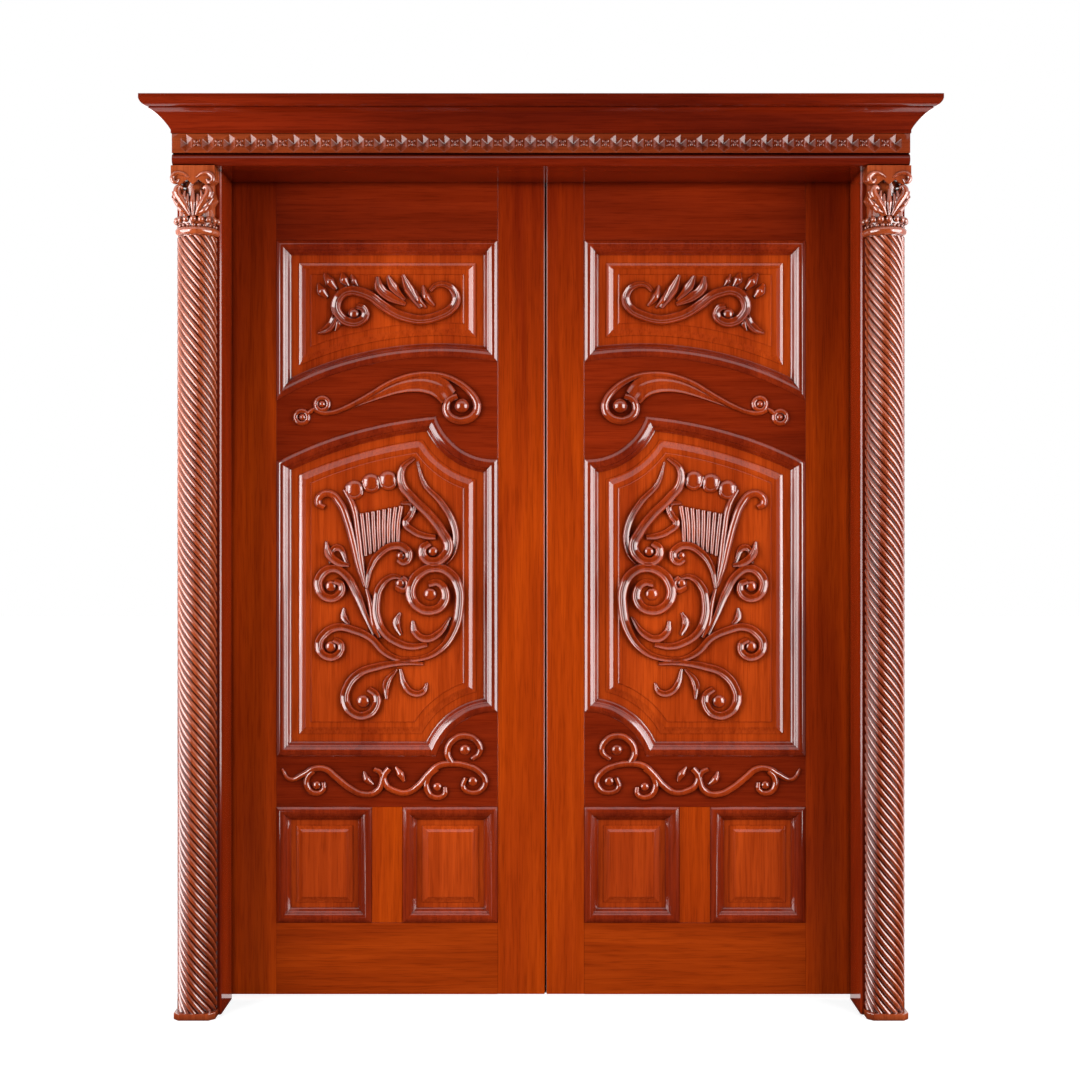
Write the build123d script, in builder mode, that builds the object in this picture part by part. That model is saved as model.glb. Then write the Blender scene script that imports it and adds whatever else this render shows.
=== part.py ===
"""Carved wooden double door in its frame, with rope-twist pilasters and a corniced head.

Millimetres, +Z up. X runs across the doorway, -Y faces the viewer. The origin is on the floor, on the
centre line, half way between the front of the cornice and the back of the hinge knuckles. Depths are
measured forward from the face of the closed leaves.
"""

import os
from math import cos, pi, radians, sin

from build123d import *

# Doorway and leaves
clear_width = 1600.0
clear_height = 2112.0
leaf_thickness = 45.0
leaf_lap = 12.0
edge_gap = 3.0
stop_gap = 1.0
floor_gap = 12.0

# Frame
reveal_depth = 134.0
jamb_face = 110.0
head_height = 80.0
arris_radius = 4.0

# Entablature
beam_depth = 36.0
band_thickness = 24.0
torus_height = 30.0
band_height = 48.0
quirk_width = 2.0
quirk_height = 8.0
crown_height = 71.0
crown_projection = 66.0
cap_board = 9.0
hollow_count = 34
hollow_pitch = 53.0
hollow_width = 28.0
hollow_height = 44.0
hollow_depth = 11.0
hollow_shoulder = 11.0

# Pilasters
column_offset = 4.0
shaft_radius = 49.0
groove_depth = 5.5
front_strands = 7
strand_pitch = 23.0
half_strand_count = 3
foot_height = 17.0
foot_radius = 52.0
foot_chamfer = 15.0
capital_height = 170.0
neck_radius = 46.0
ring_radius = 54.0
ring_rise = 18.0
cushion_radius = 51.0
cushion_rise = 40.0
bell_radius = 45.0
bell_foot = 25.0
bell_rise = 46.0
leaf_proud = 8.0
abacus_height = 49.0
abacus_half_width = 54.0
abacus_depth = 57.0

# Leaf framing
hinge_stile = 115.0
meeting_stile = 112.0
top_rail = 148.0
bottom_rail = 185.0
lower_rail = 131.0
muntin_width = 80.0
lower_panel_height = 300.0
scroll_rail_height = 140.0
main_arch_rise = 117.0
main_shoulder_rise = 6.0
main_foot_rise = 114.0
ear_width = 160.0
ear_radius = 158.0
main_arch_radius = 1140.0
top_panel_height = 315.0
top_sweep_width = 397.0
top_sweep_radius = 838.0
seam_offset = 12.0
seam_gap = 4.0
seam_arris = 2.0
seal_reach = 2.8
seal_thickness = 4.0
seal_inset = 13.0

# Panels and mouldings
panel_back = -36.0
panel_face = -14.0
field_margin = 57.0
field_bevel = 18.0
field_rise = 9.0
field_land = 0.5
tablet_margin = 90.0
tablet_rise = 2.5
small_margin = 50.0
small_bevel = 16.0
bead_width = 13.0
bead_proud = 3.5
bead_chamfer = 3.0
slope_width = 15.0
slope_top = -3.0
slope_land = 1.0
rail_relief = 7.0
panel_relief = 8.0
drawn_width = 573.0
drawn_height = 764.0
drawn_top_height = 315.0
drawn_rail_height = 131.0

# Hinges
hinge_count = 3
hinge_lowest = 250.0
hinge_spacing = 790.0
knuckle_radius = 7.0
knuckle_clear = 0.5
knuckle_length = 60.0
plate_width = 38.0
plate_thickness = 2.5
plate_let_in = 1.0
pin_radius = 3.5
pin_length = 45.0
pin_end_gap = 1.0
plate_end_gap = 1.0
pin_clearance = 0.05
seat_gap = 0.1

# Worked-out places
frieze_depth = reveal_depth + beam_depth + band_thickness
front_depth = frieze_depth + crown_projection
hinge_depth = -leaf_thickness - knuckle_clear - knuckle_radius
back_depth = hinge_depth - knuckle_radius
middle_depth = (front_depth + back_depth) / 2
half_clear = clear_width / 2
frame_half = half_clear + jamb_face
leaf_edge = half_clear + leaf_lap
rebate_face = leaf_edge + edge_gap
leaf_top = clear_height + leaf_lap
hinge_x = leaf_edge + edge_gap / 2
column_x = half_clear + jamb_face / 2 + column_offset
shaft_height = clear_height - foot_height - capital_height
frieze_top = clear_height + torus_height + band_height
crown_top = frieze_top + crown_height

x_out = -half_clear + hinge_stile
x_in = -meeting_stile
x_mid = (x_out + x_in) / 2
z_lower = floor_gap + bottom_rail
z_lower_top = z_lower + lower_panel_height
z_main = z_lower_top + lower_rail
z_top = clear_height - top_rail
z_top_in = z_top - top_panel_height
z_main_peak = z_top_in - scroll_rail_height
z_main_side = z_main_peak - main_arch_rise
wide = (x_in - x_out) / drawn_width
main_high = (z_main_side - z_main) / drawn_height
top_high = top_panel_height / drawn_top_height
lower_high = lower_rail / drawn_rail_height
hinge_heights = [hinge_lowest + i * hinge_spacing for i in range(hinge_count)]
plate_reach = plate_width - leaf_thickness - hinge_depth - pin_radius - plate_end_gap
seat_size = (plate_let_in, plate_width, knuckle_length)


def at_depth(depth):
    """The Y of a plane that lies this far in front of the closed leaves."""
    return middle_depth - depth


def front(depth, z=0.0, x=0.0):
    """A front-facing plane at a depth, drawn in X and Z and extruded towards the viewer."""
    return Plane(origin=(x, at_depth(depth), z), x_dir=(1, 0, 0), z_dir=(0, -1, 0))


def mirrored(part):
    """The same piece on the other side of the centre line."""
    with BuildPart() as other:
        mirror(part, about=Plane.YZ)
    return other.part


def write(part, name):
    part.label = name
    export_step(part, f"parts/{name}.step")


os.makedirs("parts", exist_ok=True)


# Jambs: a rebated post each side, with seats cut for the hinge plates
with BuildPart() as jamb_left:
    with BuildSketch(Plane.XY):
        with BuildLine():
            Polyline(
                (-half_clear, at_depth(reveal_depth)),
                (-half_clear, at_depth(stop_gap)),
                (-rebate_face, at_depth(stop_gap)),
                (-rebate_face, at_depth(-leaf_thickness)),
                (-frame_half, at_depth(-leaf_thickness)),
                (-frame_half, at_depth(reveal_depth)),
                close=True,
            )
        make_face()
    extrude(amount=clear_height)
    front_edge = jamb_left.edges().filter_by(Axis.Z).group_by(Axis.Y)[0].sort_by(Axis.X)[-1]
    chamfer(front_edge, arris_radius)
    for height in hinge_heights:
        with Locations((-rebate_face, at_depth(-leaf_thickness), height)):
            Box(*seat_size, align=(Align.MAX, Align.MAX, Align.MIN), mode=Mode.SUBTRACT)
write(jamb_left.part, "jamb_left")
write(mirrored(jamb_left.part), "jamb_right")


# Head: lies across both jambs, rebated over the leaves
with BuildPart() as head:
    with BuildSketch(front(-leaf_thickness, clear_height)):
        Rectangle(2 * frame_half, head_height, align=(Align.CENTER, Align.MIN))
    extrude(amount=leaf_thickness + reveal_depth)
    with BuildSketch(front(-leaf_thickness, clear_height)):
        Rectangle(2 * rebate_face, leaf_lap + edge_gap, align=(Align.CENTER, Align.MIN))
    extrude(amount=leaf_thickness + stop_gap, mode=Mode.SUBTRACT)
write(head.part, "head")


# Entablature: a beam on the face of the head carries the frieze mouldings and the cornice
beam_half = frame_half - band_thickness
with BuildPart() as frieze_beam:
    with BuildSketch(front(reveal_depth, clear_height)):
        Rectangle(2 * beam_half, crown_top - clear_height, align=(Align.CENTER, Align.MIN))
    extrude(amount=beam_depth)
write(frieze_beam.part, "frieze_beam")

for side, name in ((-1, "frieze_end_left"), (1, "frieze_end_right")):
    with BuildPart() as frieze_end:
        with BuildSketch(front(reveal_depth, clear_height, side * (beam_half + band_thickness / 2))):
            Rectangle(band_thickness, frieze_top - clear_height, align=(Align.CENTER, Align.MIN))
        extrude(amount=beam_depth)
    write(frieze_end.part, name)

torus_end = (frame_half, at_depth(reveal_depth + beam_depth), clear_height)
with BuildPart() as frieze_torus:
    with BuildSketch(Plane(origin=torus_end, x_dir=(0, -1, 0), z_dir=(-1, 0, 0))):
        flat = band_thickness - torus_height / 2
        with BuildLine():
            Polyline((flat, torus_height), (0, torus_height), (0, 0), (flat, 0))
            ThreePointArc((flat, 0), (band_thickness, torus_height / 2), (flat, torus_height))
        make_face()
    extrude(amount=2 * frame_half)
write(frieze_torus.part, "frieze_torus")

# One pointed hollow of the tooth band, sunk from the face to a single deepest point
with BuildPart() as hollow:
    with BuildSketch(Plane(origin=(0, 0, 0), x_dir=(1, 0, 0), z_dir=(0, 1, 0))) as mouth:
        with BuildLine():
            Polyline(
                (0, hollow_height / 2),
                (hollow_width / 2, hollow_height / 2 - hollow_shoulder),
                (hollow_width / 2, hollow_shoulder - hollow_height / 2),
                (0, -hollow_height / 2),
                (-hollow_width / 2, hollow_shoulder - hollow_height / 2),
                (-hollow_width / 2, hollow_height / 2 - hollow_shoulder),
                close=True,
            )
        make_face()
    loft(sections=[mouth.sketch.faces()[0], Vertex(0, hollow_depth, 0)])

with BuildPart() as tooth_band:
    with BuildSketch(front(reveal_depth + beam_depth, clear_height + torus_height)):
        Rectangle(2 * frame_half, band_height, align=(Align.CENTER, Align.MIN))
    extrude(amount=band_thickness)
    with Locations((0, at_depth(frieze_depth), clear_height + torus_height + band_height / 2)):
        with Locations([((i - (hollow_count - 1) / 2) * hollow_pitch, 0, 0) for i in range(hollow_count)]):
            add(hollow.part, mode=Mode.SUBTRACT)
write(tooth_band.part, "tooth_band")


# Cornice moulding in section, out from the face of the frieze: a cove, a quirk and an ovolo
cove_foot = (quirk_width, quirk_height)
cove_end = (crown_projection * 0.69, crown_height * 0.71)
ovolo_foot = (crown_projection * 0.69, crown_height * 0.75)
crown_tip = (crown_projection, crown_height)
with BuildLine() as crown_section:
    Polyline(crown_tip, (-band_thickness, crown_height), (-band_thickness, 0), (quirk_width, 0), cove_foot)
    ThreePointArc(cove_foot, (crown_projection * 0.26, crown_height * 0.41), cove_end)
    Line(cove_end, ovolo_foot)
    ThreePointArc(ovolo_foot, (crown_projection * 0.92, crown_height * 0.84), crown_tip)

# Cornice: one long front length and two short returns, mitred at the corners
crown_half = frame_half + crown_projection
mitre_left = Plane(origin=(-frame_half, at_depth(frieze_depth), 0), x_dir=(0, 0, 1), z_dir=(1, -1, 0))
mitre_right = Plane(origin=(frame_half, at_depth(frieze_depth), 0), x_dir=(0, 0, 1), z_dir=(-1, -1, 0))
front_end = (crown_half, at_depth(frieze_depth), frieze_top)
return_end = (-frame_half, at_depth(front_depth), frieze_top)

with BuildPart() as crown_front:
    with BuildSketch(Plane(origin=front_end, x_dir=(0, -1, 0), z_dir=(-1, 0, 0))):
        make_face(crown_section.edges())
    extrude(amount=2 * crown_half)
    split(bisect_by=mitre_left, keep=Keep.TOP)
    split(bisect_by=mitre_right, keep=Keep.TOP)
write(crown_front.part, "crown_front")

with BuildPart() as crown_left:
    with BuildSketch(Plane(origin=return_end, x_dir=(-1, 0, 0), z_dir=(0, 1, 0))):
        make_face(crown_section.edges())
    extrude(amount=front_depth - reveal_depth)
    split(bisect_by=mitre_left, keep=Keep.BOTTOM)
write(crown_left.part, "crown_left")
write(mirrored(crown_left.part), "crown_right")

with BuildPart() as top_board:
    with BuildSketch(front(reveal_depth, crown_top)):
        Rectangle(2 * crown_half, cap_board, align=(Align.CENTER, Align.MIN))
    extrude(amount=front_depth - reveal_depth)
write(top_board.part, "top_board")


def rope_shaft():
    """A half-round shaft carved as a rope: flat facets between helical ridge and valley lines.

    The half circle holds a whole number of strands. Each level repeats the section, turned by a few
    half strands, so strands enter at one edge of the half circle and leave at the other.
    """
    corners = 2 * front_strands
    turn = half_strand_count
    levels = round(shaft_height / (strand_pitch * turn / 2))
    rise = shaft_height / levels

    def corner(level, i):
        ridge = (i + level * turn) % 2 == 1
        radius = shaft_radius if ridge else shaft_radius - groove_depth
        angle = pi - pi * i / corners
        return (radius * cos(angle), -radius * sin(angle), foot_height + level * rise)

    def facet(*points):
        return Face(Wire.make_polygon(points))

    facets = [facet(*[corner(0, i) for i in range(corners + 1)])]
    facets.append(facet(*[corner(levels, i) for i in range(corners + 1)]))
    for level in range(levels):
        low = [corner(level, i) for i in range(corners + 1)]
        high = [corner(level + 1, i) for i in range(corners + 1)]
        for i in range(turn):
            facets.append(facet(high[0], low[i], low[i + 1]))
            facets.append(facet(low[-1], high[corners - turn + i], high[corners - turn + i + 1]))
        for i in range(turn, corners):
            facets.append(facet(high[i - turn], low[i], low[i + 1]))
            facets.append(facet(high[i - turn], low[i + 1], high[i - turn + 1]))
    left = [corner(level, 0) for level in range(levels + 1)]
    right = [corner(level, corners) for level in range(levels + 1)]
    facets.append(facet(*left, *reversed(right)))
    return Solid(Shell(facets))


# Pilasters: rope shaft, foot and leafy capital, planted on the face of each jamb
with BuildPart() as column_left:
    with Locations((-column_x, at_depth(reveal_depth), 0)):
        add(rope_shaft())
write(column_left.part, "column_left")

with BuildPart() as column_right:
    with Locations((column_x, at_depth(reveal_depth), 0)):
        add(rope_shaft())
write(column_right.part, "column_right")

with BuildPart() as foot_left:
    with BuildSketch(Plane.XY):
        with Locations((-column_x, at_depth(reveal_depth))):
            Rectangle(2 * foot_radius, foot_radius, align=(Align.CENTER, Align.MAX))
        chamfer(vertices().group_by(Axis.Y)[0], foot_chamfer)
    extrude(amount=foot_height)
write(foot_left.part, "foot_left")
write(mirrored(foot_left.part), "foot_right")

abacus_foot = capital_height - abacus_height
capital_axis = front(reveal_depth, clear_height - capital_height, -column_x)
with BuildPart() as capital_left:
    with BuildSketch(capital_axis):
        with BuildLine():
            Polyline(
                (0, 0),
                (neck_radius, 0),
                (ring_radius, ring_rise),
                (bell_radius, bell_foot),
                (cushion_radius, cushion_rise),
                (bell_radius, bell_rise),
                (bell_radius, capital_height),
                (0, capital_height),
                close=True,
            )
        make_face()
    revolve(axis=Axis(capital_axis.origin, (0, 0, 1)), revolution_arc=-180)
    # Abacus: its lower edge falls in two lobes either side of the centre line
    with BuildSketch(capital_axis):
        with BuildLine():
            Polyline(
                (0, abacus_foot + 2),
                (14, abacus_foot + 14),
                (34, abacus_foot),
                (abacus_half_width, abacus_foot + 20),
                (abacus_half_width, capital_height),
                (-abacus_half_width, capital_height),
                (-abacus_half_width, abacus_foot + 20),
                (-34, abacus_foot),
                (-14, abacus_foot + 14),
                close=True,
            )
        make_face()
    extrude(amount=abacus_depth)
    # Two acanthus leaves rise from the middle and curl outwards under the abacus
    with BuildSketch(capital_axis):
        with BuildLine():
            Polyline((2, 46), (18, 46), (38, 66), (53, 92), (46, 112), (34, 118), (22, 108), (8, 84),
                     close=True)
        make_face()
        mirror(about=Plane.YZ)
    extrude(amount=bell_radius + leaf_proud)
write(capital_left.part, "capital_left")
write(mirrored(capital_left.part), "capital_right")


# Leaf framing outlines, drawn on the left leaf in X and Z
with BuildLine() as main_outline:
    Line((x_out, z_main_side), (x_out, z_main))
    Line((x_out, z_main), (x_in - ear_width, z_main))
    RadiusArc((x_in - ear_width, z_main), (x_in, z_main + main_foot_rise), ear_radius)
    Line((x_in, z_main + main_foot_rise), (x_in, z_main_side + main_shoulder_rise))
    RadiusArc((x_in, z_main_side + main_shoulder_rise), (x_in - ear_width, z_main_peak), ear_radius)
    RadiusArc((x_in - ear_width, z_main_peak), (x_out, z_main_side), -main_arch_radius)

sweep_drop = top_sweep_radius - (top_sweep_radius**2 - top_sweep_width**2) ** 0.5
with BuildLine() as top_outline:
    Polyline((x_out, z_top_in - sweep_drop), (x_out, z_top), (x_in, z_top), (x_in, z_top_in),
             (x_out + top_sweep_width, z_top_in))
    RadiusArc((x_out + top_sweep_width, z_top_in), (x_out, z_top_in - sweep_drop), top_sweep_radius)

lower_width = (x_in - x_out - muntin_width) / 2
with BuildLine() as lower_outline:
    Polyline((x_out, z_lower), (x_out + lower_width, z_lower), (x_out + lower_width, z_lower_top),
             (x_out, z_lower_top), close=True)


def timber(left, right, bottom, top, *openings):
    """A full-thickness framing member between two heights, less the panel openings that bite into it."""
    with BuildPart() as member:
        with BuildSketch(front(-leaf_thickness)):
            with Locations((left, bottom)):
                Rectangle(right - left, top - bottom, align=(Align.MIN, Align.MIN))
            for outline in openings:
                make_face(outline.edges(), mode=Mode.SUBTRACT)
        extrude(amount=leaf_thickness)
    return member


def raised_panel(outline, margin, bevel, tablet):
    """A panel that fills its opening, with a bevelled raised field and, on the large ones, a thin tablet."""
    with BuildPart() as panel:
        with BuildSketch(front(panel_back)):
            make_face(outline.edges())
        extrude(amount=panel_face - panel_back)
        with BuildSketch(front(panel_face)):
            make_face(outline.edges())
            offset(amount=-margin, kind=Kind.INTERSECTION, mode=Mode.REPLACE)
        extrude(amount=field_rise)
        field = panel.faces().sort_by(Axis.Y)[0]
        chamfer(field.edges(), bevel, field_rise - field_land, reference=field)
        if tablet:
            with BuildSketch(front(panel_face + field_rise)):
                make_face(outline.edges())
                offset(amount=-tablet_margin, kind=Kind.INTERSECTION, mode=Mode.REPLACE)
            extrude(amount=tablet_rise)
    return panel


def moulding(outline):
    """The moulding round a panel: a bead that stands proud of the framing, then a slope down to the panel."""
    with BuildPart() as ring:
        with BuildSketch(front(panel_face)):
            make_face(outline.edges())
            offset(amount=-bead_width, kind=Kind.INTERSECTION, mode=Mode.SUBTRACT)
        extrude(amount=bead_proud - panel_face)
        chamfer(ring.faces().sort_by(Axis.Y)[0].outer_wire().edges(), bead_chamfer)
        chamfer(ring.faces().sort_by(Axis.Y)[0].inner_wires()[0].edges(), bead_chamfer)
        with BuildSketch(front(panel_face)):
            make_face(outline.edges())
            offset(amount=-bead_width, kind=Kind.INTERSECTION, mode=Mode.REPLACE)
            offset(amount=-slope_width, kind=Kind.INTERSECTION, mode=Mode.SUBTRACT)
        extrude(amount=slope_top - panel_face)
        top_y = at_depth(slope_top)
        slope_face = ring.faces().filter_by_position(Axis.Y, top_y - 0.01, top_y + 0.01)[0]
        across, down = slope_width - slope_land, slope_top - panel_face - slope_land
        chamfer(slope_face.inner_wires()[0].edges(), across, down, reference=slope_face)
    return ring


def stroke(width, *points):
    """A carved stem seen from the front: a band along the points, pointed at first and blunt at last."""
    left, right = [points[0]], []
    last = len(points) - 1
    for i, (x, z) in enumerate(points[1:], 1):
        before, after = points[i - 1], points[min(i + 1, last)]
        along = Vector(after[0] - before[0], after[1] - before[1]).normalized()
        half = width / 2 * (0.6 if i == last else 1.0)
        left.append((x - along.Y * half, z + along.X * half))
        right.append((x + along.Y * half, z - along.X * half))
    return left + right[::-1]


def flame(width, start, end):
    """A short leaf with a point at each end."""
    along = Vector(end[0] - start[0], end[1] - start[1]).normalized() * (width / 2)
    x, z = start[0] * 0.6 + end[0] * 0.4, start[1] * 0.6 + end[1] * 0.4
    return [start, (x - along.Y, z + along.X), end, (x + along.Y, z - along.X)]


def curl(width, x, z, radius, start, sweep):
    """A small volute: a band that winds in round its eye, with angles in degrees, anticlockwise."""
    rim = []
    for turned, shrink in ((0, 1.15), (0.33, 1), (0.67, 0.85), (1, 0.5)):
        angle = radians(start + sweep * turned)
        rim.append((x + radius * shrink * cos(angle), z + radius * shrink * sin(angle)))
    return stroke(width, *rim)


def carving(depth, relief, z, strokes, rise=1.0):
    """Flat-backed scrollwork planted on a face of the left leaf, stretched with the leaf it is drawn for."""
    with BuildPart() as work:
        with BuildSketch(front(depth, z, x_mid)):
            for outline in strokes:
                Polygon(*[(right * wide, up * rise) for right, up in outline], align=None)
        extrude(amount=relief)
    return work


# Scrollwork of the left leaf, in millimetres from the middle of the panels' width
top_scrolls = [
    stroke(15, (158, -190), (80, -206), (-61, -146), (-122, -152), (-140, -200), (-104, -222), (-66, -196)),
    stroke(14, (112, -128), (152, -118), (184, -154), (160, -198)),
    curl(11, 140, -152, 18, 100, -300),
    flame(14, (-164, -96), (-136, -144)),
    flame(14, (-184, -124), (-150, -160)),
    flame(13, (-120, -98), (-102, -140)),
    flame(13, (-92, -98), (-70, -138)),
    stroke(13, (-28, -104), (0, -148), (30, -170)),
    flame(14, (4, -98), (44, -162)),
    flame(14, (46, -100), (88, -188)),
    flame(14, (98, -126), (112, -192)),
    stroke(12, (-190, -256), (-152, -238), (-128, -204)),
]
rail_scrolls = [
    stroke(13, (-196, -12), (-140, -2), (-10, 78), (80, 106), (166, 100), (232, 62), (242, 4), (204, -24),
           (168, 6), (188, 36)),
    stroke(11, (-96, 12), (-18, 44), (70, 58), (134, 42), (160, 16)),
    stroke(10, (56, 74), (120, 76), (166, 52)),
    curl(9, -176, 22, 17, -60, 320),
    curl(9, -234, -10, 17, -60, 320),
]
string_top, string_foot = (-64, 628), (-54, 520)
string_spread, string_gather = 13, 11.5
harp_strings = [
    flame(8, (string_top[0] + string_spread * i, string_top[1] + 3 * i), (string_foot[0] + string_gather * i,
          string_foot[1] + 5 * i))
    for i in range(8)
]
main_scrolls = harp_strings + [
    stroke(15, (62, 774), (38, 720), (80, 652), (172, 552), (148, 504), (100, 508), (104, 552)),
    stroke(11, (78, 756), (104, 698), (150, 648), (178, 590)),
    curl(10, -85, 692, 19, -70, 300),
    curl(10, -42, 709, 19, -70, 300),
    curl(10, 4, 717, 19, -70, 300),
    stroke(13, (-176, 664), (-142, 684), (-110, 628), (-76, 516), (-58, 440)),
    stroke(10, (-109, 692), (-82, 630), (-66, 540), (-56, 452)),
    stroke(14, (42, 652), (70, 624), (56, 594), (124, 566)),
    stroke(14, (-58, 434), (-44, 486), (-12, 532), (34, 544), (48, 512)),
    stroke(16, (-164, 564), (-146, 512), (-100, 498)),
    stroke(14, (-34, 312), (-84, 430), (-124, 474), (-166, 446), (-152, 410), (-124, 428)),
    stroke(13, (60, 256), (0, 266), (-50, 312), (-110, 334), (-158, 300), (-132, 262)),
    stroke(14, (40, 248), (120, 260), (180, 330), (182, 424), (140, 482), (84, 468), (70, 410), (116, 380),
           (136, 426)),
    stroke(12, (40, 456), (-8, 450), (-26, 370), (30, 294), (104, 292)),
    stroke(11, (-56, 434), (-40, 370), (-20, 300)),
    flame(14, (34, 370), (38, 312)),
    stroke(13, (166, 362), (116, 312), (70, 342)),
    stroke(15, (94, 240), (-20, 238), (-104, 172), (-88, 112), (-34, 124), (-52, 162)),
    flame(14, (6, 140), (20, 228)),
    stroke(13, (108, 190), (66, 164), (40, 226)),
]
lower_scrolls = [
    stroke(12, (-272, 98), (-236, 74), (-172, 100), (-120, 66), (-56, 34), (-16, 56), (-24, 92)),
    curl(9, -184, 54, 20, 70, 280),
    stroke(12, (-14, 94), (2, 54), (48, 40), (150, 110), (206, 108), (248, 72), (224, 40), (202, 66)),
    curl(10, 200, 146, 32, 250, -300),
    curl(9, 132, 54, 24, 100, 270),
    flame(12, (-62, 88), (-38, 52)),
    flame(12, (22, 108), (44, 68)),
]

# Leaves, modelled as the left one and mirrored for the right one
tablet_depth = panel_face + field_rise + tablet_rise
small_panel = raised_panel(lower_outline, small_margin, small_bevel, False)
small_moulding = moulding(lower_outline)
next_panel = [(0, 0, 0), (lower_width + muntin_width, 0, 0)]

with BuildPart() as lower_panels:
    with Locations(next_panel):
        add(small_panel.part)

with BuildPart() as lower_mouldings:
    with Locations(next_panel):
        add(small_moulding.part)

with BuildPart() as hinge_stile_piece:
    with BuildSketch(front(-leaf_thickness, floor_gap)):
        with Locations((-leaf_edge, 0)):
            Rectangle(leaf_edge + x_out, leaf_top - floor_gap, align=(Align.MIN, Align.MIN))
    extrude(amount=leaf_thickness)
    for height in hinge_heights:
        with Locations((-leaf_edge, at_depth(-leaf_thickness), height + knuckle_length + seat_gap)):
            Box(*seat_size, align=(Align.MIN, Align.MAX, Align.MIN), mode=Mode.SUBTRACT)

with BuildPart() as hinge_leaves:
    for height in hinge_heights:
        seat = height + knuckle_length + seat_gap
        with Locations((-hinge_x, at_depth(-leaf_thickness + plate_width), seat)):
            Box(plate_thickness, plate_reach, knuckle_length, align=(Align.MIN, Align.MIN, Align.MIN))
        with BuildSketch(Plane.XY.offset(seat)):
            with Locations((-hinge_x, at_depth(hinge_depth))):
                Circle(knuckle_radius)
        extrude(amount=knuckle_length)
        with BuildSketch(Plane.XY.offset(seat)):
            with Locations((-hinge_x, at_depth(hinge_depth))):
                Circle(pin_radius + pin_clearance)
        extrude(amount=pin_length + pin_end_gap, mode=Mode.SUBTRACT)

left_leaf = {
    "hinge_stile": hinge_stile_piece,
    "top_rail": timber(x_out, x_in, z_top, leaf_top),
    "scroll_rail": timber(x_out, x_in, z_main_side, z_top_in, main_outline, top_outline),
    "lower_rail": timber(x_out, x_in, z_lower_top, z_main + main_foot_rise, main_outline),
    "bottom_rail": timber(x_out, x_in, floor_gap, z_lower),
    "muntin": timber(x_out + lower_width, x_in - lower_width, z_lower, z_lower_top),
    "top_panel": raised_panel(top_outline, field_margin, field_bevel, True),
    "main_panel": raised_panel(main_outline, field_margin, field_bevel, True),
    "lower_panels": lower_panels,
    "top_moulding": moulding(top_outline),
    "main_moulding": moulding(main_outline),
    "lower_mouldings": lower_mouldings,
    "top_carving": carving(tablet_depth, panel_relief, z_top, top_scrolls, top_high),
    "rail_carving": carving(0, rail_relief, z_main_peak, rail_scrolls),
    "main_carving": carving(tablet_depth, panel_relief, z_main, main_scrolls, main_high),
    "lower_carving": carving(0, rail_relief, z_lower_top, lower_scrolls, lower_high),
    "hinge_leaves": hinge_leaves,
}
for name, piece in left_leaf.items():
    write(piece.part, f"left_{name}")
    write(mirrored(piece.part), f"right_{name}")

# Meeting stiles: plain edges with a softened arris, meeting a little to the right of the centre line
for name, inner, outer in (
    ("left_meeting_stile", seam_offset - seam_gap / 2, x_in),
    ("right_meeting_stile", seam_offset + seam_gap / 2, -x_in),
):
    with BuildPart() as meeting_stile_piece:
        with BuildSketch(front(-leaf_thickness, (floor_gap + leaf_top) / 2, (inner + outer) / 2)):
            Rectangle(abs(outer - inner), leaf_top - floor_gap)
        extrude(amount=leaf_thickness)
        front_edges = meeting_stile_piece.edges().filter_by(Axis.Z).group_by(Axis.Y)[0]
        chamfer(front_edges.sort_by(lambda edge: abs(edge.center().X - inner))[0], seam_arris)
    write(meeting_stile_piece.part, name)

# Meeting seal: a thin strip along the left leaf's meeting edge that fills most of the gap
seam_edge = seam_offset - seam_gap / 2
with BuildPart() as left_meeting_seal:
    with BuildSketch(front(-seal_inset - seal_thickness, floor_gap, seam_edge)):
        Rectangle(seal_reach, leaf_top - floor_gap, align=(Align.MIN, Align.MIN))
    extrude(amount=seal_thickness)
write(left_meeting_seal.part, "left_meeting_seal")

# Lift-off hinges: the lower half and its fixed pin stay on the jamb, the upper half lifts off with the leaf
with BuildPart() as hinge_frames_left:
    for height in hinge_heights:
        with Locations((-hinge_x, at_depth(-leaf_thickness + plate_width), height)):
            Box(plate_thickness, plate_reach, knuckle_length, align=(Align.MAX, Align.MIN, Align.MIN))
        with BuildSketch(Plane.XY.offset(height)):
            with Locations((-hinge_x, at_depth(hinge_depth))):
                Circle(knuckle_radius)
        extrude(amount=knuckle_length)
        with BuildSketch(Plane.XY.offset(height)):
            with Locations((-hinge_x, at_depth(hinge_depth))):
                Circle(pin_radius)
        extrude(amount=knuckle_length + pin_length)
write(hinge_frames_left.part, "hinge_frames_left")
write(mirrored(hinge_frames_left.part), "hinge_frames_right")
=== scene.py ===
from math import atan2, copysign, cos, pi, radians, sin, sqrt

import bpy
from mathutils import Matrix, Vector, geometry


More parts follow.
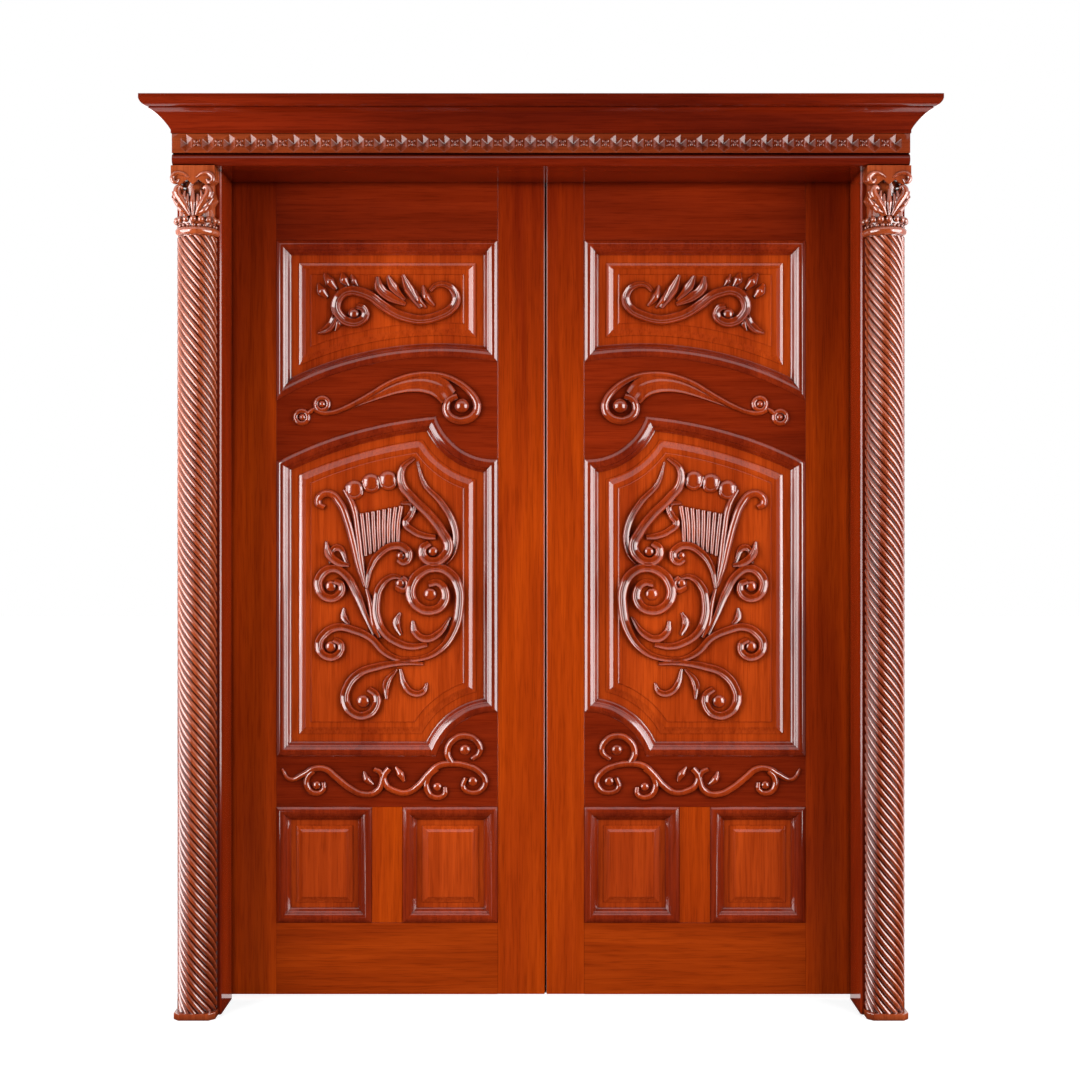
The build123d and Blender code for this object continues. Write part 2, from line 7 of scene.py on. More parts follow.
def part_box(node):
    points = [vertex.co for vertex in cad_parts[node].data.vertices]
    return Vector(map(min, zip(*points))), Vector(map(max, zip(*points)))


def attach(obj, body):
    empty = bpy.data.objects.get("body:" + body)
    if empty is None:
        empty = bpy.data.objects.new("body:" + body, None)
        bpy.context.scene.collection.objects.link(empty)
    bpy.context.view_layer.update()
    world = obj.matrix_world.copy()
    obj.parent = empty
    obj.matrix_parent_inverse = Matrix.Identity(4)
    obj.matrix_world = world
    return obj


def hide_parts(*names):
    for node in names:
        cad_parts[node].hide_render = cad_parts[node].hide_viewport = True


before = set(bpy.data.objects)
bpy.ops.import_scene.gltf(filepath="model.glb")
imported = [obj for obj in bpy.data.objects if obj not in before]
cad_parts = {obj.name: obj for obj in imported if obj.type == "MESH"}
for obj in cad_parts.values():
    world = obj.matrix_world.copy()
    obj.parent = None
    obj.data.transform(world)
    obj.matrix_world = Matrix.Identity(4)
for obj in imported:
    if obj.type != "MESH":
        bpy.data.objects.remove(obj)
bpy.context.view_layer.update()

# Jambs and head: rebated posts of stained hardwood at either side of the doorway, with the head lying
# across both. They are planed square, the arrises are rubbed off by hand, and the whole is sprayed with a
# gloss coat. The leaves stand back from the face of the jambs.
jamb_face = -0.03375
leaf_setback = 0.134
leaf_face = jamb_face + leaf_setback


def stain(red, green, blue):
    """A stain's colour, named as it looks under plain light, as the shader's own numbers."""
    return tuple(((part / 255 + 0.055) / 1.055) ** 2.4 for part in (red, green, blue)) + (1.0,)


def varnished(name, grain, light, dark, shine=1.55, shade_heights=None):
    """Stained timber under a clear coat: figure, lines and pores along the grain, and painted shade in its
    recesses.

    A larger shine makes the coat reflect more. Given two heights, the board is painted darker towards the
    top between them: painted shade.
    """
    material = bpy.data.materials.new(name)
    material.use_nodes = True
    nodes, links = material.node_tree.nodes, material.node_tree.links
    shader = nodes["Principled BSDF"]
    place = nodes.new("ShaderNodeTexCoord")

    def streaks(across, along, detail, warp):
        stretch = nodes.new("ShaderNodeMapping")
        stretch.inputs["Scale"].default_value = [along if axis == grain else across for axis in "XYZ"]
        noise = nodes.new("ShaderNodeTexNoise")
        noise.inputs["Scale"].default_value = 1.0
        noise.inputs["Detail"].default_value = detail
        noise.inputs["Distortion"].default_value = warp
        links.new(place.outputs["Object"], stretch.inputs["Vector"])
        links.new(stretch.outputs["Vector"], noise.inputs["Vector"])
        return noise.outputs["Fac"]

    def ramp(source, low, high, first, second):
        band = nodes.new("ShaderNodeValToRGB")
        band.color_ramp.elements[0].position = low
        band.color_ramp.elements[0].color = first
        band.color_ramp.elements[1].position = high
        band.color_ramp.elements[1].color = second
        links.new(source, band.inputs["Fac"])
        return band.outputs["Color"]

    def shaded(under, over, amount):
        mix = nodes.new("ShaderNodeMix")
        mix.data_type = "RGBA"
        mix.blend_type = "MULTIPLY"
        mix.inputs["Factor"].default_value = amount
        links.new(under, mix.inputs["A"])
        links.new(over, mix.inputs["B"])
        return mix.outputs["Result"]

    whole, top_shade = (1, 1, 1, 1), (0.5, 0.34, 0.7, 1)
    line_stain, pore_stain, recess_shade_colour = (0.72, 0.62, 0.55, 1), (0.6, 0.5, 0.45, 1), (0.16, 0.07, 0.05, 1)
    figure = ramp(streaks(6.0, 0.8, 5.0, 0.9), 0.34, 0.66, stain(*dark), stain(*light))
    lines = ramp(streaks(70.0, 2.2, 3.0, 0.6), 0.4, 0.6, line_stain, whole)
    pores = ramp(streaks(300.0, 12.0, 2.0, 0.2), 0.36, 0.5, pore_stain, whole)
    # Painted shade: the colour darkens where ambient occlusion finds other surfaces close by, in recesses
    # and between parts.
    recess = nodes.new("ShaderNodeAmbientOcclusion")
    recess.samples = 6
    recess.inputs["Distance"].default_value = 0.016
    crevice_shade = ramp(recess.outputs["AO"], 0.35, 0.95, recess_shade_colour, whole)
    timber = shaded(shaded(figure, lines, 0.6), pores, 0.5)
    # Painted shade: the board darkens towards the top, between the two given heights.
    if shade_heights:
        split = nodes.new("ShaderNodeSeparateXYZ")
        links.new(place.outputs["Object"], split.inputs["Vector"])
        level = nodes.new("ShaderNodeMapRange")
        level.inputs["From Min"].default_value, level.inputs["From Max"].default_value = shade_heights
        links.new(split.outputs["Z"], level.inputs["Value"])
        timber = shaded(timber, ramp(level.outputs["Result"], 0, 1, whole, top_shade), 1.0)
    links.new(shaded(timber, crevice_shade, 0.9), shader.inputs["Base Color"])

    shader.inputs["Roughness"].default_value = 0.5
    shader.inputs["Specular IOR Level"].default_value = 0.0
    shader.inputs["Coat Weight"].default_value = 1.0
    shader.inputs["Coat Roughness"].default_value = 0.1
    shader.inputs["Coat IOR"].default_value = shine
    return material


def only(piece):
    """Leaves one piece selected and active."""
    bpy.ops.object.select_all(action="DESELECT")
    piece.select_set(True)
    bpy.context.view_layer.objects.active = piece


def applied(piece, kind, **settings):
    """Gives a piece one modifier and applies it at once."""
    modifier = piece.modifiers.new("work", kind)
    for setting, value in settings.items():
        setattr(modifier, setting, value)
    only(piece)
    bpy.ops.object.modifier_apply(modifier="work")


def fitted(piece, body, node, material):
    """Paints a finished piece, ties it to its body and hides the CAD node that it stands in for."""
    piece.data.materials.clear()
    piece.data.materials.append(material)
    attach(piece, body)
    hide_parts(node)


def planed(node, body, material, arris=0.0012, steps=2, sharp=20):
    """A timber in the place of its CAD node, with its points merged and its arrises rounded.

    Edges that turn by more than the sharp angle, in degrees, are arrises.
    """
    piece = bpy.data.objects.new(node + "_wood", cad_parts[node].data.copy())
    bpy.context.collection.objects.link(piece)
    only(piece)
    bpy.ops.object.mode_set(mode="EDIT")
    bpy.ops.mesh.select_all(action="SELECT")
    bpy.ops.mesh.customdata_custom_splitnormals_clear()
    bpy.ops.mesh.remove_doubles(threshold=0.00002)
    bpy.ops.mesh.tris_convert_to_quads(face_threshold=radians(0.5), shape_threshold=pi)
    bpy.ops.object.mode_set(mode="OBJECT")
    limit = radians(sharp)
    applied(piece, "BEVEL", width=arris, segments=steps, limit_method="ANGLE", angle_limit=limit)
    bpy.ops.object.shade_smooth_by_angle(angle=radians(sharp + 10))
    applied(piece, "WEIGHTED_NORMAL", keep_sharp=True)
    fitted(piece, body, node, material)
    return piece


post_wood = varnished("post_wood", "Z", (160, 50, 16), (120, 32, 9))
head_wood = varnished("head_wood", "X", (132, 36, 10), (96, 22, 6))
for node in ("jamb_left", "jamb_right"):
    planed(node, "frame", post_wood, arris=0.002)
planed("head", "frame", head_wood, arris=0.002)

# Frieze: a beam on the face of the head, closed by a block at each end, with a half-round torus moulding
# along its lower edge. All are run lengths of the same wood, glued and pinned from behind.
for node in ("frieze_beam", "frieze_end_left", "frieze_end_right"):
    planed(node, "frame", head_wood)
planed("frieze_torus", "frame", head_wood, arris=0.0006, steps=1)

# Tooth band: a flat band over the torus, gouged with a row of pointed hollows.
# A small flower of four petals round an eye is carved on each stud that is left between two hollows.
band_wood = varnished("band_wood", "X", (158, 70, 34), (118, 42, 18))
planed("tooth_band", "frame", band_wood, arris=0.001)
hollow_count = 34
stud_pitch = 0.053
petal_count = 4
petal_length = 0.0062
petal_reach = 0.0062
petal_shape = (1, 0.55, 0.62)
eye_shape = (0.5, 0.75, 0.5)
band_low, band_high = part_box("tooth_band")
stud_height = (band_low[2] + band_high[2]) / 2
bpy.ops.object.select_all(action="DESELECT")
flowers = []
for stud in range(hollow_count - 1):
    stud_x = (stud - (hollow_count - 2) / 2) * stud_pitch
    for petal in range(petal_count + 1):
        is_petal = petal < petal_count
        angle = pi / 4 + petal * 2 * pi / petal_count
        away = petal_reach if is_petal else 0
        place = (stud_x + away * cos(angle), band_low[1], stud_height + away * sin(angle))
        bpy.ops.mesh.primitive_uv_sphere_add(
            segments=10, ring_count=6, radius=petal_length, location=place, rotation=(0, -angle, 0)
        )
        lobe = bpy.context.object
        lobe.scale = petal_shape if is_petal else eye_shape
        flowers.append(lobe)
for lobe in flowers:
    lobe.select_set(True)
bpy.ops.object.transform_apply(location=True, rotation=True, scale=True)
bpy.ops.object.join()
flowers = bpy.context.object
flowers.name = "tooth_flowers"
flowers.data.materials.append(band_wood)
bpy.ops.object.shade_smooth()
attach(flowers, "frame")

# Cornice: lengths of a cove, a quirk and an ovolo run along the top, cut from one moulding and mitred round
# both corners. A thin cap board is glued over them.
for node in ("crown_front", "crown_left", "crown_right", "top_board"):
    planed(node, "frame", head_wood, arris=0.0008)

# Pilasters: a foot block, a half-round shaft and a leafy capital are glued to the face of each jamb.
# The shaft is carved all over as a tight rope, and its flat back lies against the jamb.
column_wood = varnished("column_wood", "Z", (192, 92, 48), (150, 60, 28), shine=2.0)
for node in ("foot_left", "foot_right"):
    planed(node, "frame", column_wood, arris=0.002)

strands = 14
strand_points = 8
strand_rise = 0.023
groove = 0.0075
lobe_power = 0.7
shaft_steps = 460
turn_height = strands * strand_rise
glue_line = 0.0001


def cut_at_jamb():
    """Cuts away what lies behind the face of the jamb, and closes the cut."""
    bpy.ops.mesh.bisect(
        plane_co=(0, jamb_face - glue_line, 0), plane_no=(0, 1, 0), use_fill=True, clear_outer=True
    )


def rope_shaft(node):
    """Winds a lobed section up the shaft, cuts it in half along the jamb and closes its ends."""
    low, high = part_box(node)
    middle = (low[0] + high[0]) / 2
    radius = (high[0] - low[0]) / 2
    height = high[2] - low[2]
    bpy.ops.mesh.primitive_circle_add(vertices=strands * strand_points, radius=radius)
    shaft = bpy.context.object
    shaft.name = node + "_rope"
    for point in shaft.data.vertices:
        angle = atan2(point.co.y, point.co.x)
        lobe = abs(sin(angle * strands / 2)) ** lobe_power
        scale = (radius - groove * (1 - lobe)) / radius
        point.co.x *= scale
        point.co.y *= scale
    applied(
        shaft,
        "SCREW",
        angle=-2 * pi * height / turn_height,
        screw_offset=height,
        steps=shaft_steps,
        render_steps=shaft_steps,
        use_merge_vertices=False,
    )
    shaft.location = (middle, jamb_face, low[2])
    only(shaft)
    bpy.ops.object.transform_apply(location=True, rotation=False, scale=False)
    bpy.ops.object.mode_set(mode="EDIT")
    bpy.ops.mesh.select_all(action="SELECT")
    bpy.ops.mesh.fill_holes(sides=0)
    bpy.ops.mesh.select_all(action="SELECT")
    cut_at_jamb()
    bpy.ops.mesh.select_all(action="SELECT")
    bpy.ops.mesh.normals_make_consistent(inside=False)
    bpy.ops.object.mode_set(mode="OBJECT")
    bpy.ops.object.shade_smooth_by_angle(angle=radians(40))
    fitted(shaft, "frame", node, column_wood)


rope_shaft("column_left")
rope_shaft("column_right")
for node in ("capital_left", "capital_right"):
    planed(node, "frame", column_wood, arris=0.0006, sharp=42)

# Leaf frames: upright stiles and a muntin, with cross rails between them, mortised and glued.
# The grain runs up the stiles and along the rails. The stiles are painted darker towards the top, a painted
# shade, and the bottom rail gets a lighter copy of the rail colour, a painted light.
stile_shade_heights = (1.25, 2.15)
stile_wood = varnished("stile_wood", "Z", (194, 73, 10), (160, 52, 10), shade_heights=stile_shade_heights)
rail_wood = varnished("rail_wood", "X", (142, 42, 12), (112, 30, 9))
# Painted light: a lighter copy of the rail colour for the bottom rail, where more light falls low on the
# door.
foot_rail_lit_wood = varnished("foot_rail_lit_wood", "X", (186, 70, 12), (150, 50, 9))
(outer_x, _, main_low), (inner_x, _, main_peak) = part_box("left_main_panel")
top_low, top_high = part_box("left_top_panel")[0][2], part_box("left_top_panel")[1][2]
lower_low, lower_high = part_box("left_lower_panels")[0][2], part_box("left_lower_panels")[1][2]
leaf_depth = 0.045
muntin_width = 0.08
ear_width = 0.16
ear_radius = 0.158
ear_foot = 0.114
ear_shoulder = main_peak - 0.111
arch_radius = 1.14
arch_foot = main_peak - 0.117
sweep_radius = 0.846
sweep_end = top_low + 0.1
arc_points = 24


def centre(start, end, radius):
    """The centre of a round edge, on the left of its way, or on the right if its radius is negative."""
    along = end - start
    left = Vector((-along.y, along.x)).normalized()
    return (start + end) / 2 - left * copysign(sqrt(radius**2 - (along.length / 2) ** 2), radius)


def edges(*corners):
    """The edges of a closed outline, anticlockwise. Each corner gives the radius of the edge after it."""
    spots = [Vector((x, z)) for x, z, _ in corners]
    return [(spots[i], spots[(i + 1) % len(spots)], corners[i][2]) for i in range(len(corners))]


def ring(outline, inset=0.0):
    """The points of an outline moved inwards, with its corners still sharp and its arcs still round."""
    lines = []
    for start, end, radius in outline:
        if radius:
            lines.append((centre(start, end, radius), abs(radius + inset)))
        else:
            shift = Vector((start.y - end.y, end.x - start.x)).normalized() * inset
            lines.append((start + shift, end + shift))
    corners = []
    for i, (near, _, radius) in enumerate(outline):
        before, after = lines[i - 1], lines[i]
        if outline[i - 1][2] and radius:
            spots = geometry.intersect_sphere_sphere_2d(*before, *after)
        elif outline[i - 1][2]:
            spots = geometry.intersect_line_sphere_2d(*after, *before, False)
        elif radius:
            spots = geometry.intersect_line_sphere_2d(*before, *after, False)
        else:
            meet = geometry.intersect_line_line(*[spot.to_3d() for spot in (*before, *after)])
            spots = [meet[0].to_2d()]
        corners.append(min(spots, key=lambda spot: (spot - near).length))
    points = []
    for i, (_, _, radius) in enumerate(outline):
        points.append(corners[i])
        if radius:
            middle = lines[i][0]
            first, last = corners[i] - middle, corners[(i + 1) % len(corners)] - middle
            turn = -first.angle_signed(last)
            for step in range(1, arc_points):
                angle = atan2(first.y, first.x) + turn * step / arc_points
                points.append(middle + first.length * Vector((cos(angle), sin(angle))))
    return points


def run(name, outline, profile, hollow):
    """A board or a frame of moulding inside an outline, from its section: inset and height, in millimetres.

    Insets of a whole face would fold over at the ears of the panel, so each step of the section is laid out
    as a ring of its own and joined to the one before. A hollow run closes on itself, with an open middle.
    """
    rings = [ring(outline, inset / 1000) for inset, _ in profile]
    count = len(rings[0])
    points = [
        (spot.x, leaf_face - height / 1000, spot.y)
        for (_, height), loop in zip(profile, rings)
        for spot in loop
    ]
    faces = []
    for row in range(len(rings) - (not hollow)):
        first, second = row * count, (row + 1) % len(rings) * count
        for i in range(count):
            after = (i + 1) % count
            faces.append((first + i, first + after, second + after, second + i))
    if not hollow:
        faces.append(tuple(range(count))[::-1])
        faces.append(tuple(range((len(rings) - 1) * count, len(rings) * count)))
    mesh = bpy.data.meshes.new(name)
    mesh.from_pydata(points, [], faces)
    piece = bpy.data.objects.new(name, mesh)
    bpy.context.collection.objects.link(piece)
    return piece


def finished(name, side, runs, material, angle=30):
    """Joins the runs of one piece, mirrors it for the right leaf, turns its faces outwards and paints it."""
    only(runs[0])
    for piece in runs:
        piece.select_set(True)
    bpy.ops.object.join()
    work = bpy.context.object
    work.name = f"{side}_{name}_work"
    if side == "right":
        for point in work.data.vertices:
            point.co.x *= -1
    bpy.ops.object.mode_set(mode="EDIT")
    bpy.ops.mesh.select_all(action="SELECT")
    bpy.ops.mesh.remove_doubles(threshold=0.00001)
    bpy.ops.mesh.normals_make_consistent(inside=False)
    bpy.ops.object.mode_set(mode="OBJECT")
    bpy.ops.object.shade_smooth_by_angle(angle=radians(angle))
    fitted(work, f"{side}_leaf", f"{side}_{name}", material)
    return work


top_outline = edges(
    (outer_x, top_low, sweep_radius), (inner_x, sweep_end, 0), (inner_x, top_high, 0), (outer_x, top_high, 0)
)
main_outline = edges(
    (outer_x, main_low, 0),
    (inner_x - ear_width, main_low, ear_radius),
    (inner_x, main_low + ear_foot, 0),
    (inner_x, ear_shoulder, ear_radius),
    (inner_x - ear_width, main_peak, -arch_radius),
    (outer_x, arch_foot, 0),
)
small_width = (inner_x - outer_x - muntin_width) / 2
small_outlines = []
for left in (outer_x, inner_x - small_width):
    right = left + small_width
    small_outlines.append(
        edges((left, lower_low, 0), (right, lower_low, 0), (right, lower_high, 0), (left, lower_high, 0))
    )
rail_outline = edges(
    (outer_x, arch_foot, arch_radius),
    (inner_x - ear_width, main_peak, -ear_radius),
    (inner_x, ear_shoulder, 0),
    (inner_x, sweep_end, -sweep_radius),
    (outer_x, top_low, 0),
)
rail_section = [(0, -leaf_depth * 1000), (0, -0.3), (0.3, 0)]

for side in ("left", "right"):
    for name in ("hinge_stile", "meeting_stile", "muntin"):
        planed(f"{side}_{name}", f"{side}_leaf", stile_wood, arris=0.0016)
    for name in ("top_rail", "lower_rail"):
        planed(f"{side}_{name}", f"{side}_leaf", rail_wood, arris=0.0003, steps=1)
    # Painted light: the bottom rail takes the lighter copy of the rail colour.
    planed(f"{side}_bottom_rail", f"{side}_leaf", foot_rail_lit_wood, arris=0.0003, steps=1)
    finished("scroll_rail", side, [run("rail", rail_outline, rail_section, hollow=False)], rail_wood)

# Panels: solid boards with a fielded edge, held loose in the grooves of the leaf frame. The field rises in a
# hollow bevel, and on the larger panels a thin tablet stands one small step above it.
panel_wood = varnished("panel_wood", "Z", (196, 74, 20), (158, 52, 14), shine=1.65)
panel_section = [(0, -36), (0, -14), (57, -14), (57.3, -12.4), (62, -11.2), (67, -9.2), (71.5, -6.6),
                 (75, -5), (87.5, -5), (88, -4.6), (89, -3), (90, -2.5)]
panel_smooth = 20
small_section = [(0, -36), (0, -14), (50, -14), (50.3, -12.4), (54, -11.2), (59, -9.2), (63, -6.6),
                 (66, -5)]
for side in ("left", "right"):
    for name, outlines, profile in (
        ("top_panel", [top_outline], panel_section),
        ("main_panel", [main_outline], panel_section),
        ("lower_panels", small_outlines, small_section),
    ):
        boards = [run("panel", outline, profile, hollow=False) for outline in outlines]
        finished(name, side, boards, panel_wood, panel_smooth)

# Panel mouldings: a broad bead that stands proud of the frame, a quirk, then a slope down to the panel.
# Each is run in lengths, mitred at the corners, and pinned into the groove round the opening.
bead_wood = varnished("bead_wood", "Z", (156, 50, 16), (120, 32, 10), shine=1.75)
moulding_section = [(0, -13.9), (0, 0.3), (1.2, 1.6), (4, 3.2), (7.5, 4.8), (10.5, 5.7), (12.6, 5.9),
                    (14.8, 5.3), (18, 3.9), (21.5, 2.1), (24, 0.4), (24.6, -1.0), (25, -2.4), (27, -3.4),
                    (29, -5.6), (31, -8.4), (33, -11.0), (35, -12.7), (36.2, -13.2), (36.3, -13.9)]
mitre_smooth = 22
for side in ("left", "right"):
    for name, outlines in (
        ("top_moulding", [top_outline]),
        ("main_moulding", [main_outline]),
        ("lower_mouldings", small_outlines),
    ):
        beads = [run("bead", outline, moulding_section, hollow=True) for outline in outlines]
        finished(name, side, beads, bead_wood, mitre_smooth)

# Carvings: scrollwork cut from thicker wood and glued on. Some stems are hollowed along their face between
# two rims, others are left rounded, and the broad blade on the scroll rail carries a low ridge.
carving_wood = varnished("carving_wood", "Z", (186, 68, 20), (146, 48, 14), shine=1.85)
middle_x = -0.3985


def section(name, points):
    """The cross-section of a carved stem, one unit wide, standing on the panel."""
    line = bpy.data.curves.new(name, "CURVE")
    line.dimensions = "2D"
    spline = line.splines.new("POLY")
    spline.points.add(len(points) - 1)
    for point, (across, up) in zip(spline.points, points):
        point.co = (across, up, 0, 1)
    spline.use_cyclic_u = True
    holder = bpy.data.objects.new(name, line)
    bpy.context.collection.objects.link(holder)
    return holder


gouged = section(
    "gouged_section",
    [(-0.5, -0.1), (-0.5, 0.2), (-0.45, 0.42), (-0.36, 0.54), (-0.26, 0.5), (-0.14, 0.34), (0, 0.28),
     (0.14, 0.34), (0.26, 0.5), (0.36, 0.54), (0.45, 0.42), (0.5, 0.2), (0.5, -0.1)],
)
bladed = section(
    "bladed_section",
    [(-0.5, -0.1), (-0.5, 0.1), (-0.46, 0.17), (-0.4, 0.16), (-0.3, 0.1), (-0.16, 0.1), (-0.06, 0.17),
     (0.04, 0.16), (0.16, 0.08), (0.32, 0.07), (0.42, 0.13), (0.48, 0.14), (0.5, 0.08), (0.5, -0.1)],
)
rounded = section(
    "rounded_section",
    [(-0.5, -0.1), (-0.49, 0.16), (-0.4, 0.38), (-0.22, 0.55), (0, 0.6), (0.22, 0.55), (0.4, 0.38),
     (0.49, 0.16), (0.5, -0.1)],
)
fullness = 1.4
carving_smooth = 50
stem_swell = [(0, 0.4), (0.2, 0.9), (0.5, 1.0), (0.8, 0.95), (1, 0.7)]
leaf_swell = [(0, 0.3), (0.25, 0.9), (0.5, 1.0), (0.75, 0.9), (1, 0.4)]
band_swell = [(0, 0.9), (0.5, 1.0), (1, 0.7)]


def swell_at(swell, share):
    """How full a stem is, as a share of its width, this far along it."""
    for (start, low), (end, high) in zip(swell, swell[1:]):
        if share <= end:
            return low + (high - low) * (share - start) / (end - start)
    return swell[-1][1]


def stem(origin, width, points, swell=stem_swell, profile=gouged):
    """One stem of scrollwork through its points, each given in millimetres right of and above its origin."""
    line = bpy.data.curves.new("stem", "CURVE")
    line.dimensions = "2D"
    line.resolution_u = 8
    line.bevel_mode = "OBJECT"
    line.bevel_object = profile
    line.use_fill_caps = True
    spline = line.splines.new("BEZIER")
    spline.bezier_points.add(len(points) - 1)
    last = len(points) - 1
    for index, (point, (right, up)) in enumerate(zip(spline.bezier_points, points)):
        point.co = (right / 1000, up / 1000, 0)
        point.handle_left_type = point.handle_right_type = "AUTO"
        point.radius = width / 1000 * fullness * swell_at(swell, index / last)
    piece = bpy.data.objects.new("stem", line)
    bpy.context.collection.objects.link(piece)
    piece.rotation_euler = (pi / 2, 0, 0)
    piece.location = origin
    only(piece)
    bpy.ops.object.convert(target="MESH")
    bpy.ops.object.transform_apply(location=True, rotation=True, scale=True)
    return bpy.context.object


def boss(origin, radius, right, up, height):
    """The round eye of a volute."""
    place = (origin[0] + right / 1000, origin[1], origin[2] + up / 1000)
    size = radius / 1000 * fullness
    bpy.ops.mesh.primitive_uv_sphere_add(segments=24, ring_count=12, radius=size, location=place)
    eye = bpy.context.object
    eye.scale = (1, height / radius, 1)
    bpy.ops.object.transform_apply(location=True, rotation=True, scale=True)
    return eye


def coil(origin, radius, thickness, right, up):
    """A closed round ring, half sunk in the board."""
    bpy.ops.mesh.primitive_torus_add(
        location=(origin[0] + right / 1000, origin[1], origin[2] + up / 1000), rotation=(pi / 2, 0, 0),
        major_radius=radius / 1000, minor_radius=thickness / 1000, major_segments=32, minor_segments=12,
    )
    bpy.ops.object.transform_apply(location=True, rotation=True, scale=True)
    return bpy.context.object


tablet_face = leaf_face + 0.0025
top_foot = 1.964
rail_foot = 1.509
main_foot = 0.628
lower_foot = 0.497


def top_parts():
    at = (middle_x, tablet_face, top_foot)
    return [
        stem(at, 19, [(111, -131), (128, -116), (155, -117), (175, -134), (179, -154), (167, -177),
                      (136, -195), (90, -206), (51, -200), (20, -188), (-14, -166), (-41, -146),
                      (-68, -135), (-95, -131), (-119, -142), (-132, -169), (-122, -196), (-99, -212),
                      (-72, -211), (-56, -193), (-62, -176), (-78, -171)]),
        boss(at, 11, -86, -190, 8),
        stem(at, 19, [(-178, -112), (-168, -132), (-154, -148)], leaf_swell, rounded),
        stem(at, 19, [(-162, -86), (-148, -107), (-131, -127)], leaf_swell, rounded),
        stem(at, 17, [(-117, -84), (-111, -102), (-100, -119)], leaf_swell, rounded),
        stem(at, 11, [(-92, -88), (-86, -104), (-77, -118)], leaf_swell, rounded),
        stem(at, 21, [(-25, -94), (-17, -126), (9, -148), (48, -166)], leaf_swell),
        stem(at, 19, [(2, -92), (16, -122), (46, -154)], leaf_swell),
        stem(at, 20, [(41, -90), (58, -128), (88, -174)], leaf_swell),
        stem(at, 13, [(74, -130), (82, -153), (101, -175)], leaf_swell, rounded),
        stem(at, 15, [(93, -117), (101, -145), (122, -170)], leaf_swell, rounded),
        stem(at, 17, [(-180, -240), (-155, -230), (-138, -207), (-134, -184)], leaf_swell),
        stem(at, 14, [(-134, -234), (-127, -215), (-125, -198)], leaf_swell, rounded),
    ]


def rail_parts():
    at = (middle_x, leaf_face, rail_foot)
    blade_swell = [(0, 0.1), (0.12, 0.16), (0.24, 0.27), (0.36, 0.42), (0.48, 0.62), (0.6, 0.8), (0.72, 0.9),
                   (0.86, 1.0), (1, 0.9)]
    return [
        stem(at, 41, [(-134, 7), (-105, 18), (-70, 35), (-34, 51), (1, 67), (37, 80), (72, 86),
                      (107, 84), (139, 71), (160, 48)], blade_swell, bladed),
        stem(at, 13, [(-186, 15), (-169, 8), (-141, 9), (-105, 22), (-70, 40), (-34, 61), (1, 82),
                      (37, 97), (72, 106), (108, 108), (143, 104), (179, 90), (210, 67), (230, 40),
                      (233, 19), (224, 1), (203, -10), (179, -10), (158, 4), (153, 24), (163, 43),
                      (182, 51)], [(0, 0.7), (0.5, 0.9), (0.75, 1.3), (1, 1.0)], rounded),
        boss(at, 14, 194, 26, 13),
        coil(at, 16, 7, -168, 31),
        boss(at, 7, -168, 31, 7),
        coil(at, 16, 7, -221, -3),
        boss(at, 7, -219, -3, 7),
        stem(at, 9, [(-206, 6), (-196, 13), (-184, 20)], band_swell, rounded),
    ]


